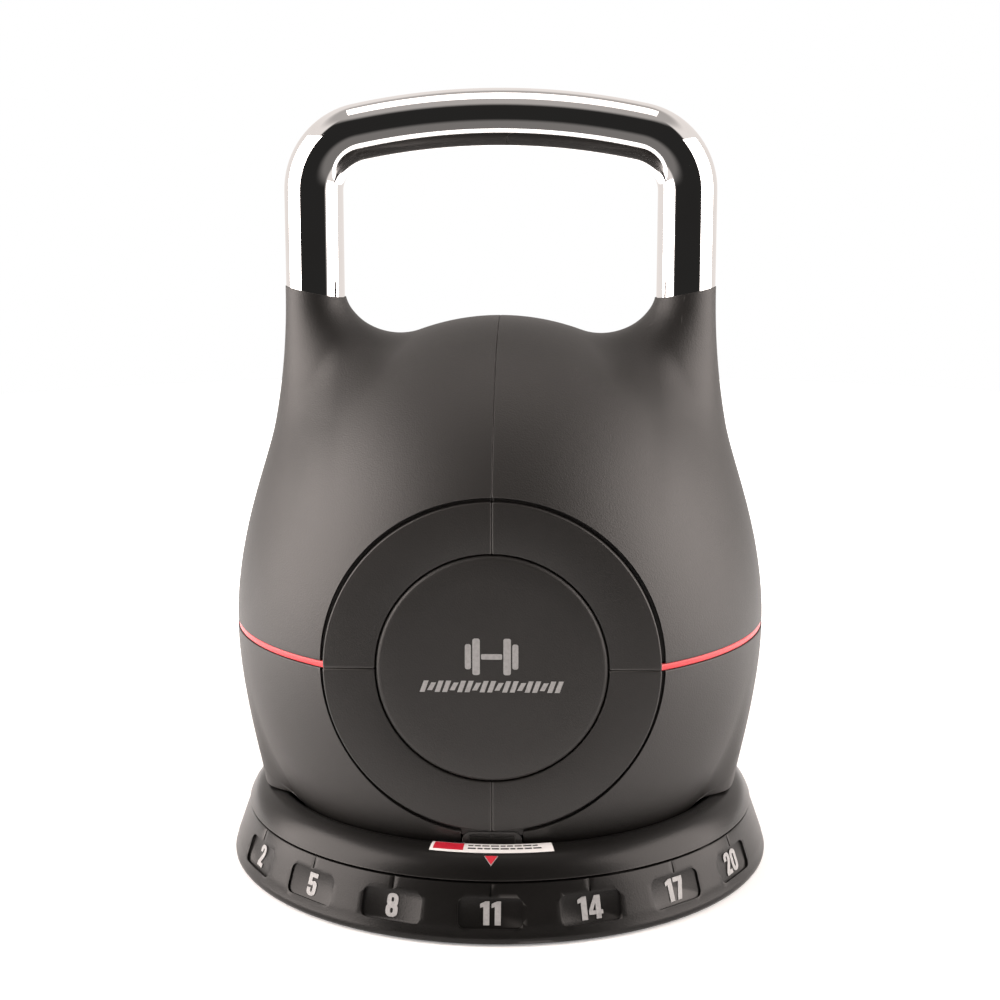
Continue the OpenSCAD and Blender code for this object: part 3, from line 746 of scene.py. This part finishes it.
def lower_quarter():
    """The right lower quarter's skin and wall as one closed solid."""
    corners = [
        lower.corner(1, 2, (groove_r, -100, strip_gap_low)),
        lower.corner(1, 2, (groove_r, 100, strip_gap_low)),
        lower.corner(0, 1, (0, face_y, cap_z - groove_r)),
        lower.corner(0, 3, (0, 100, foot_z)),
        lower.corner(0, 3, (notch_x, -100, foot_z)),
        lower.corner(0, 1, (notch_x, -face_y, cap_z - groove_r)),
    ]
    marks = rising([math.atan2(c[2] - pole_z, -c[1]) for c in corners])
    angles = spread(lower, marks, 2.2)
    outer = lower.columns(angles, gathered_ends(64))
    rim = lower.rim(outer[-1], wall)
    normals = normals_of(lower_skin, outer)
    inner = (outer - normals * wall)[::-1]
    tip = outer[0].mean(0)
    for _ in range(4):
        slope = gradient(lower_skin, tip)
        tip = tip - slope * lower_skin(tip) / (slope @ slope)
    rows = [*outer, *rim, *inner]
    return solid(*join_rows(rows, True, False, start=tip, end=tip - [wall, 0, 0]))


# ---------- Ring, caps and strips ----------

def skin_y(skin, angles, radius):
    """Depth of the shell's front skin at angles round the cap's axis."""
    x = radius * np.cos(angles)
    z = cap_z + radius * np.sin(angles)
    low, high = np.full(len(angles), -body_r - 10.0), np.zeros(len(angles))
    for _ in range(40):
        middle = (low + high) / 2
        outside = skin(np.stack([x, middle, z], -1)) > 0
        low = np.where(outside, middle, low)
        high = np.where(outside, high, middle)
    return middle


def ring_quarter(skin, first):
    """A quarter of the flat ring with the groove's floor round it; first is its lower angle in degrees."""
    inset = math.degrees(split / 2 / ring_r)
    angles = np.radians(np.linspace(first + inset, first + 90 - inset, 73))
    floor = skin_y(skin, angles, ring_r + groove_w / 2) + groove_depth
    flat = np.ones(len(angles))
    hole_r, seat_y, back_y = cap_r - 4, -face_y + 2.5, floor + 1.6
    mouth_r, floor_r = cap_r + 0.4, groove_r + 2.4
    profile = [(hole_r, back_y), (hole_r, seat_y * flat), (mouth_r, seat_y * flat), (mouth_r, -face_y * flat),
               (ring_r, -face_y * flat), (ring_r, floor), (floor_r, floor), (floor_r, back_y)]
    rows = [np.stack([r * np.cos(angles), y, cap_z + r * np.sin(angles)], -1) for r, y in profile]
    return modified(swept(rows), rounding(0.7, 3, 40))


def face_cap():
    """Cap with a softly rounded edge and a face that falls away a little outside its print, towards -Y."""
    edge, fall, visible_r, print_r = 2.2, 0.5, cap_r - 0.1, 38
    flat_r = visible_r - edge
    top = [(r, cap_face_y - print_t - fall * max(0, (r - print_r) / (flat_r - print_r)) ** 2)
           for r in (0, 10, 20, 30, *np.linspace(print_r, flat_r, 10))]
    bend = arc(flat_r, top[-1][1] - edge, edge, 90, 0, 8)[1:]
    back = face_y - 2.4
    profile = top + bend + [(visible_r, back), (0, back)]
    turned = lathe(profile, 192)
    return moved(turned, facing_front(0, cap_z))


def on_cap(outline):
    """A printed shape on the cap's face, from an outline about the cap's centre."""
    return moved(prism(outline, -0.05, print_t), facing_front(print_t - cap_face_y, cap_z))


def cap_emblem():
    """A plain dumbbell seen from the front, over a row of slanted bars."""
    shapes = [rounded_rectangle(9, 2.4, 0.6)]
    for x, wide, tall in ((6.6, 3.2, 16), (10.1, 2.6, 11)):
        plate = rounded_rectangle(wide, tall, 1)
        shapes += [[(s * x + px, py) for px, py in plate] for s in (-1, 1)]
    shapes = [[(x, y + emblem_y) for x, y in shape] for shape in shapes]
    bars, pitch, half, slant = 19, 3.2, 1.05, 0.9
    for k in range(bars):
        x = (k - (bars - 1) / 2) * pitch
        tall = 2.5 - 0.8 * (k % 3 == 1)
        shapes.append([(x - half - slant, bars_y - tall), (x + half - slant, bars_y - tall),
                       (x + half + slant, bars_y + tall), (x - half + slant, bars_y + tall)])
    return [on_cap(shape) for shape in shapes]


def trim_strip():
    """The right red strip, between the two grooves round the rings."""
    outside = body_r - strip_recess
    end = math.acos((ring_r + 0.3) / outside)
    angles = np.linspace(-end, end, 150)
    low, high = strip_low[2], strip_high[2]
    soft = 0.5
    profile = [(outside - 2, low)] + arc(outside - soft, low + soft, soft, -90, 0, 4)
    profile += arc(outside - soft, high - soft, soft, 0, 90, 4) + [(outside - 2, high)]
    return swept([level_arc(r, z, angles) for r, z in profile])


def build_shell():
    """The four quarters with their rings, the two caps and the two strips."""
    quarters = {"upper": (upper_quarter(), ring_quarter(upper_skin, 0)),
                "lower": (lower_quarter(), ring_quarter(lower_skin, -90))}
    for level, (skin, ring) in quarters.items():
        for side, x in (("right", 1), ("left", -1)):
            parts = [mirrored(skin, x), mirrored(ring, x), mirrored(ring, x, -1)]
            quarter = piece(f"shell_quarter_{level}_{side}", *parts)
            show(quarter, "black_shell", "kettlebell", stands_for=[f"shell_{level}_{side}"])
    cap = face_cap()
    for name, y in (("front_cap", 1), ("back_cap", -1)):
        show(piece(f"{name}_moulding", mirrored(cap, 1, y)), "black_shell", "kettlebell", stands_for=[name])
    show(piece("cap_emblem", *cap_emblem()), "number_grey", "kettlebell")
    strip = trim_strip()
    for side, x in (("right", 1), ("left", -1)):
        show(piece(f"red_strip_{side}", mirrored(strip, x)), "red_trim", "kettlebell",
             stands_for=[f"trim_strip_{side}"])


# ---------- Handle ----------

def handle_stations():
    """Centre points of the bent tube and the way its outside faces, from leg to leg."""
    lean = math.asin(bend_x / (arch_r - bend_r))
    sweep = math.pi / 2 - lean
    right = [(leg_x, z, 0.0) for z in np.linspace(tube_foot_z, bend_z, 8)[:-1]]
    right += [(bend_x + bend_r * math.cos(t), bend_z + bend_r * math.sin(t), t)
              for t in np.linspace(0, sweep, 20)]
    crown = [(arch_r * math.cos(t), arch_z + arch_r * math.sin(t), t)
             for t in np.linspace(sweep, math.pi - sweep, 26)[1:-1]]
    left = [(-x, z, math.pi - t) for x, z, t in reversed(right)]
    return right + crown + left


def build_handle():
    """Bent chrome tube with its wall, open at both feet."""
    around = np.arange(72) * 2 * math.pi / 72
    stations = handle_stations()

    def ring(r, station):
        x, z, t = station
        return np.stack([x + r * np.cos(around) * math.cos(t), r * np.sin(around),
                         z + r * np.cos(around) * math.sin(t)], -1)

    outside = [ring(grip_r, s) for s in stations]
    inside = [ring(grip_r - tube_wall, s) for s in reversed(stations)]
    tube = solid(*join_rows(outside + inside, True, True))
    show(piece("chrome_handle", tube), "chrome", "kettlebell", stands_for=["handle_tube"])


# ---------- Base ----------

def cover_profile():
    """Fixed cover: a rounded shoulder over the dial, and the channel round the body's foot."""
    gap_z = cover_low[2]
    channel_r, ledge_z = 107.0, 29.7
    outer = cover_high[0]
    shoulder = [(outer, gap_z), (outer - 0.15, gap_z + 0.5), (outer - 0.9, gap_z + 2.4),
                (outer - 1.9, gap_z + 4.4), (outer - 3.2, rim_z - 5), (outer - 4.8, rim_z - 3.3),
                (outer - 6.7, rim_z - 1.9),
                (outer - 8.9, rim_z - 0.8), (outer - 11.2, rim_z - 0.2), (outer - 13, rim_z)]
    lip = [(channel_r + 1.4, rim_z - 0.25), (channel_r + 0.5, rim_z - 0.7), (channel_r, rim_z - 1.7)]
    inside = [(channel_r, ledge_z), (88, ledge_z), (88, ledge_z - 3), (channel_r + 2.6, ledge_z - 3),
              (channel_r + 2.6, rim_z - 3), (outer - 13, rim_z - 2.8), (outer - 8.5, rim_z - 4.2),
              (outer - 5.2, rim_z - 6.6), (outer - 3.2, gap_z + 1.5), (outer - 2.8, gap_z)]
    return shoulder + lip + inside


def box_mesh(low, high):
    outline = [(low[0], low[1]), (high[0], low[1]), (high[0], high[1]), (low[0], high[1])]
    return prism(outline, low[2], high[2])


def build_cover():
    slot = box_mesh((button_low[0] - 0.3, -106, 20), (button_high[0] + 0.3, -99, 33))
    cover = cut(lathe(cover_profile(), 320), slot)
    show(piece("base_cover", cover), "black_base", "base", stands_for=["top_cover"], sharp=50)


def label_strip(first, last, inner, outer, lift):
    """Part of the label on the cover's rim: angles in degrees from the front, radii in millimetres."""
    angles = np.radians(np.linspace(-90 + first, -90 + last, 40))
    outer_r = cover_high[0]
    surface = [(108.4, rim_z - 0.25), (outer_r - 13, rim_z), (outer_r - 11.2, rim_z - 0.2),
               (outer_r - 8.9, rim_z - 0.8), (outer_r - 6.7, rim_z - 1.9)]
    radii, heights = zip(*surface)
    rows = []
    for up in (lift, lift + 0.1):
        for r in np.linspace(inner, outer, 7) if up == lift else np.linspace(outer, inner, 7):
            z = np.interp(r, radii, heights) + up
            rows.append(level_arc(r, z, angles))
    return swept(rows)


def build_label():
    """White label with a red block and plain rules in place of words, and the red pointer under it."""
    half = 13.6
    show(piece("info_label_sheet", label_strip(-half, half, 108.6, 115.2, 0.08)), "label", "base",
         stands_for=["info_label"])
    block = label_strip(-half + 0.7, -6.2, 109.6, 114.2, 0.2)
    show(piece("label_red_block", block), "red_ink", "base")
    rules = []
    for row, radius in enumerate((110.6, 112.6)):
        at = -5.2
        for k in range(9):
            wide = 1.1 + 0.7 * ((k * 5 + row * 3) % 4) / 3
            rules.append(label_strip(at, at + wide, radius, radius + 0.8, 0.2))
            at += wide + 0.35
    show(piece("label_rules", *rules), "black_ink", "base")
    slope = Matrix.Rotation(math.radians(-90), 4, "Z") @ Matrix.Translation(
        ((cover_high[0] - 4.1) * MM, 0, (rim_z - 3.9) * MM)) @ Matrix.Rotation(math.radians(47), 4, "Y")
    border = moved(prism([(-2.2, -3), (2.2, 0), (-2.2, 3)], -0.3, 0.3), slope)
    filled = moved(prism([(-2.2, -2.7), (1.7, 0), (-2.2, 2.7)], 0.2, 0.42), slope)
    show(piece("pointer_border", border), "number_grey", "base")
    show(piece("pointer_fill", filled), "red_ink", "base", stands_for=["pointer_mark"])


def build_button():
    """Lock button: a tab with a round-cornered top and a shallow panel, on its pawl."""
    width, corner, thick = button_high[0] - button_low[0], 4, 3
    top, front = button_high[2], -105.6
    foot = button_low[2]
    outline = [(width / 2, foot), *arc(width / 2 - corner, top - corner, corner, 0, 90, 8),
               *arc(-width / 2 + corner, top - corner, corner, 90, 180, 8), (-width / 2, foot)]
    tab = moved(prism(outline, 0, thick), facing_front(front + thick, 0))
    panel = moved(prism(rounded_rectangle(width - 6, 6, 1.5), 0, 1), facing_front(front + 0.55, top - 4.6))
    pawl = box_mesh((-4, button_low[1], foot), (4, -101.6, foot + 3.5))
    body = [modified(cut(tab, panel), rounding(0.45, 3, 40)), modified(pawl, rounding(0.3))]
    show(piece("lock_tab", *body), "button_plastic", "lock", stands_for=["lock_button"])


# ---------- Dial ----------

def setting_angle(k):
    return math.radians(-90) + dial_step * (k - (setting_count - 1) / 2)


def at_window(k):
    """Lays x to the right and y up in window k, z out of the dial's face."""
    turn = Matrix.Rotation(setting_angle(k), 4, "Z")
    lean = Matrix.Rotation(math.radians(90) - dial_slope, 4, "Y")
    face = lean @ Matrix.Rotation(math.radians(90), 4, "Z")
    return turn @ Matrix.Translation((window_r * MM, 0, window_z * MM)) @ face


def dial_profile():
    soft = arc(dial_top_r - 0.9, dial_top_z - 0.8, 0.8, 90, 20, 4)
    waist = [(dial_top_r + (dial_top_z - z) * math.tan(dial_slope) - 0.05, z)
             for z in (22, 19, 16, 13, 10, 7.6)]
    foot = [(dial_r - 0.9, 5.6), (dial_r - 0.3, 4.2), (dial_r, 3), (dial_r - 0.1, 2),
            (dial_r - 0.8, dial_foot_z)]
    return [(dial_in_r, dial_foot_z), (dial_in_r, dial_top_z), *soft, *waist, *foot]


def build_dial():
    """Flared ring with a recessed window and an index groove for each setting."""
    cutters = []
    for k in range(setting_count):
        pocket = prism(rounded_rectangle(window_w, window_h, 3), -2, 3)
        low = window_h / 2 + 0.6
        groove = prism([(-0.5, low), (0.5, low), (0.5, 14), (-0.5, 14)], -0.5, 3)
        cutters += [moved(pocket, at_window(k)), moved(groove, at_window(k))]
    ring = modified(cut(lathe(dial_profile(), 288), *cutters), rounding(0.28, 2, 38))
    lugs = [box_mesh((middle - 4.5, -12, 7), (middle + 5.5, 12, 14))
            for middle in (4.5 - dial_in_r, dial_in_r - 4.5)]
    lugs = [modified(lug, rounding(0.4)) for lug in lugs]
    show(piece("number_dial", ring, *lugs), "black_base", "dial", stands_for=["dial_ring"], sharp=30)


def figure_outlines():
    """Condensed bold figures, 10 mm tall: each with its width and its outlines, holes after the outside."""
    one = [(1.5, 0), (4.1, 0), (4.1, 10), (2.4, 10), (0.1, 8.9), (0.1, 7.2), (1.5, 7.6)]
    two = [(0, 0), (5.5, 0), (5.5, 1.9), (3, 1.9), (4.9, 4.8), (5.6, 6.6), *arc(3.4, 7.8, 2.2, 0, 90, 7),
           *arc(2.2, 7.8, 2.2, 90, 180, 7), (0, 6.5), (2.2, 6.5), *arc(2.8, 7.9, 0.6, 180, 0, 7),
           (3.3, 6.8), (2.7, 5.5), (0, 1.7)]
    four = [(3.2, 0), (5.5, 0), (5.5, 1.9), (6.4, 1.9), (6.4, 3.6), (5.5, 3.6), (5.5, 10), (2.9, 10),
            (0, 3.7), (0, 1.9), (3.2, 1.9)]
    five = [(0, 3.4), *arc(2.2, 2.2, 2.2, 180, 270, 7), *arc(3.4, 2.2, 2.2, 270, 360, 7),
            *arc(3.7, 4.7, 1.9, 0, 90, 7), (2.2, 6.2), (2.2, 8.1), (5.3, 8.1), (5.3, 10), (0.1, 10),
            (0.1, 4.5), (2.1, 4.5), *arc(2.8, 4.2, 0.6, 180, 0, 7), *arc(2.8, 2.2, 0.6, 0, -180, 7),
            (2.2, 3.4)]
    seven = [(0, 10), (5.4, 10), (5.4, 8.3), (3.4, 0), (0.9, 0), (3, 8), (0, 8)]
    eight = [*arc(2.2, 2.2, 2.2, 180, 270, 7), *arc(3.4, 2.2, 2.2, 270, 360, 7), (5.6, 4.1), (5, 5.1),
             (5.4, 6.1), *arc(3.3, 7.9, 2.1, 0, 90, 7), *arc(2.3, 7.9, 2.1, 90, 180, 7), (0.2, 6.1),
             (0.6, 5.1), (0, 4.1)]

    def slot(middle, wide, tall, r):
        return [(2.8 + x, middle + y) for x, y in rounded_rectangle(wide, tall, r)]

    return {"0": (5.6, [slot(5, 5.6, 10, 2.5), slot(5, 1.3, 6.2, 0.6)]), "1": (4.2, [one]), "2": (5.6, [two]),
            "4": (6.4, [four, [(3.2, 3.6), (1.8, 3.6), (3.2, 7)]]), "5": (5.6, [five]), "7": (5.4, [seven]),
            "8": (5.6, [eight, slot(2.7, 1.3, 2.1, 0.6), slot(7.4, 1.2, 1.9, 0.55)])}


def numeral(text, figures):
    """A number in raised print, centred, 10 mm tall."""
    thick, between = 0.5, 0.7
    curve = bpy.data.curves.new("numeral", "CURVE")
    curve.dimensions = "2D"
    curve.fill_mode = "BOTH"
    curve.extrude = thick / 2 * MM
    x = -(sum(figures[c][0] for c in text) + between * (len(text) - 1)) / 2
    for c in text:
        width, outlines = figures[c]
        for outline in outlines:
            line = curve.splines.new("POLY")
            line.points.add(len(outline) - 1)
            line.use_cyclic_u = True
            for point, (px, py) in zip(line.points, outline):
                point.co = ((x + px) * MM, (py - figure_h / 2) * MM, 0, 1)
        x += width + between
    obj = bpy.data.objects.new("numeral", curve)
    bpy.context.scene.collection.objects.link(obj)
    mesh = bpy.data.meshes.new_from_object(obj.evaluated_get(bpy.context.evaluated_depsgraph_get()))
    bpy.data.objects.remove(obj)
    return modified(mesh, ("WELD", {"merge_threshold": 0.001 * MM}))


def build_numbers():
    figures = figure_outlines()
    sunk = Matrix.Translation((0, 0, -1.9 * MM))
    numbers = [moved(numeral(str(lightest + weight_step * k), figures), at_window(k) @ sunk)
               for k in range(setting_count)]
    show(piece("dial_figures", *numbers), "number_grey", "dial", stands_for=["dial_numbers"])


# ---------- Pieces inside ----------

inside = {
    "inner_plastic": ["base_plate", "plate_tray", "dial_carrier"],
    "rubber": ["rubber_feet"],
    "steel": ["base_screws", "cover_screws", "detent_ball", "detent_spring", "lock_spring", "dial_screws",
              "handle_plugs", "handle_bolts", "frame_screws", "shell_screws", "selector_shaft", "shaft_nut",
              "cam_clip"],
    "frame_steel": ["handle_frame"],
    "bronze": ["shaft_bush"],
    "cast_iron": [f"weight_plate_{k}" for k in range(1, 7)],
    "cam_metal": [f"lift_cam_{k}" for k in range(1, 7)],
}


def finish_inside():
    """Finishes and softened edges for the parts that stay as they are."""
    for finish, names in inside.items():
        for name in names:
            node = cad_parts[name]
            node.data.materials.clear()
            node.data.materials.append(finishes[finish])
            modify(node, ("WELD", {"merge_threshold": 0.01 * MM}))
            if name not in ("detent_ball", "detent_spring", "lock_spring"):
                flatten = {"decimate_type": "DISSOLVE", "angle_limit": math.radians(1)}
                modify(node, ("DECIMATE", flatten), rounding(0.35, 2, 40))


# ---------- Studio ----------

def build_studio():
    """Pale floor with a painted glow, two large soft lights at the sides and a room that is dark only in
    front.
    """
    scene = bpy.context.scene
    scene.view_settings.view_transform = "Standard"
    world = bpy.data.worlds.new("studio")
    world.use_nodes = True
    scene.world = world
    f = Finish(world.node_tree)
    way = f.node("ShaderNodeTexCoord", output=0)
    x, y, z = (f.node("ShaderNodeSeparateXYZ", inputs=(way,), output=k) for k in range(3))
    frontal = y * -1.0 / ((x * x + y * y + 0.0001) ** 0.5)
    front = frontal.between(0.55, 0.66)
    ceiling = z.between(0.72, 0.86)
    apron = 1.0 - z.between(-0.3, -0.05)
    level = (1.0 - front) * (1.0 - ceiling) + ceiling * 0.5 + front * apron * 0.2
    seen = f.node("ShaderNodeLightPath", output=0)
    shade = f.mix(seen, f.mix(level, grey(0.02, 0.05), (0.9, 0.83, 0.79, 1)), (1.0, 1.0, 1.0, 1))
    background = f.node("ShaderNodeBackground", inputs={"Color": shade, "Strength": 1.0})
    f.node("ShaderNodeOutputWorld", inputs={"Surface": background})

    disc = arc(0, 900, 1300, 0, 360, 96)[:-1]
    floor = piece("floor", prism(disc, -1, 0))
    pale, f = material("pale_floor")
    sheen = f.noise(3, 2)
    reach = f.node("ShaderNodeVectorMath", {"operation": "LENGTH"}, (f.place(),), output=1)
    # Painted light: the floor glows by its own emission, dim near the object and full white farther out, so
    # it reads as a brightly lit white floor.
    painted_floor_glow = f.mix(reach.between(0.13, 0.65), grey(0.22), grey(1.0))
    f.surface(Base_Color=f.mix(sheen, grey(0.86), grey(0.88)), Roughness=0.9,
              Emission_Color=painted_floor_glow, Emission_Strength=1.0)
    floor.data.materials.append(pale)

    middle = Vector((0, 0, 0.2))
    for name, spot, wide, tall, power in (
            ("left_softbox", (-1.13, -0.2, 0.52), 1.3, 1.2, 34),
            ("right_softbox", (1.15, -0.15, 0.52), 1.3, 1.2, 27),
            ("top_softbox", (0, 0.1, 1.7), 1.2, 0.8, 6)):
        light = bpy.data.lights.new(name, "AREA")
        light.shape = "RECTANGLE"
        light.size = wide
        light.size_y = tall
        light.energy = power
        light.color = (1.0, 0.9, 0.85)
        holder = bpy.data.objects.new(name, light)
        holder.location = spot
        holder.rotation_euler = (middle - Vector(spot)).to_track_quat("-Z", "Y").to_euler()
        scene.collection.objects.link(holder)

    camera = bpy.data.cameras.new("camera")
    camera.lens = 63.17
    camera.sensor_width = 36
    holder = bpy.data.objects.new("camera", camera)
    holder.location = (0.0274, -0.8315, 0.3171)
    holder.rotation_euler = (math.radians(80), 0, math.radians(1.89))
    scene.collection.objects.link(holder)
    scene.camera = holder


build_studio()
build_shell()
build_handle()
build_cover()
build_label()
build_button()
build_dial()
build_numbers()
finish_inside()
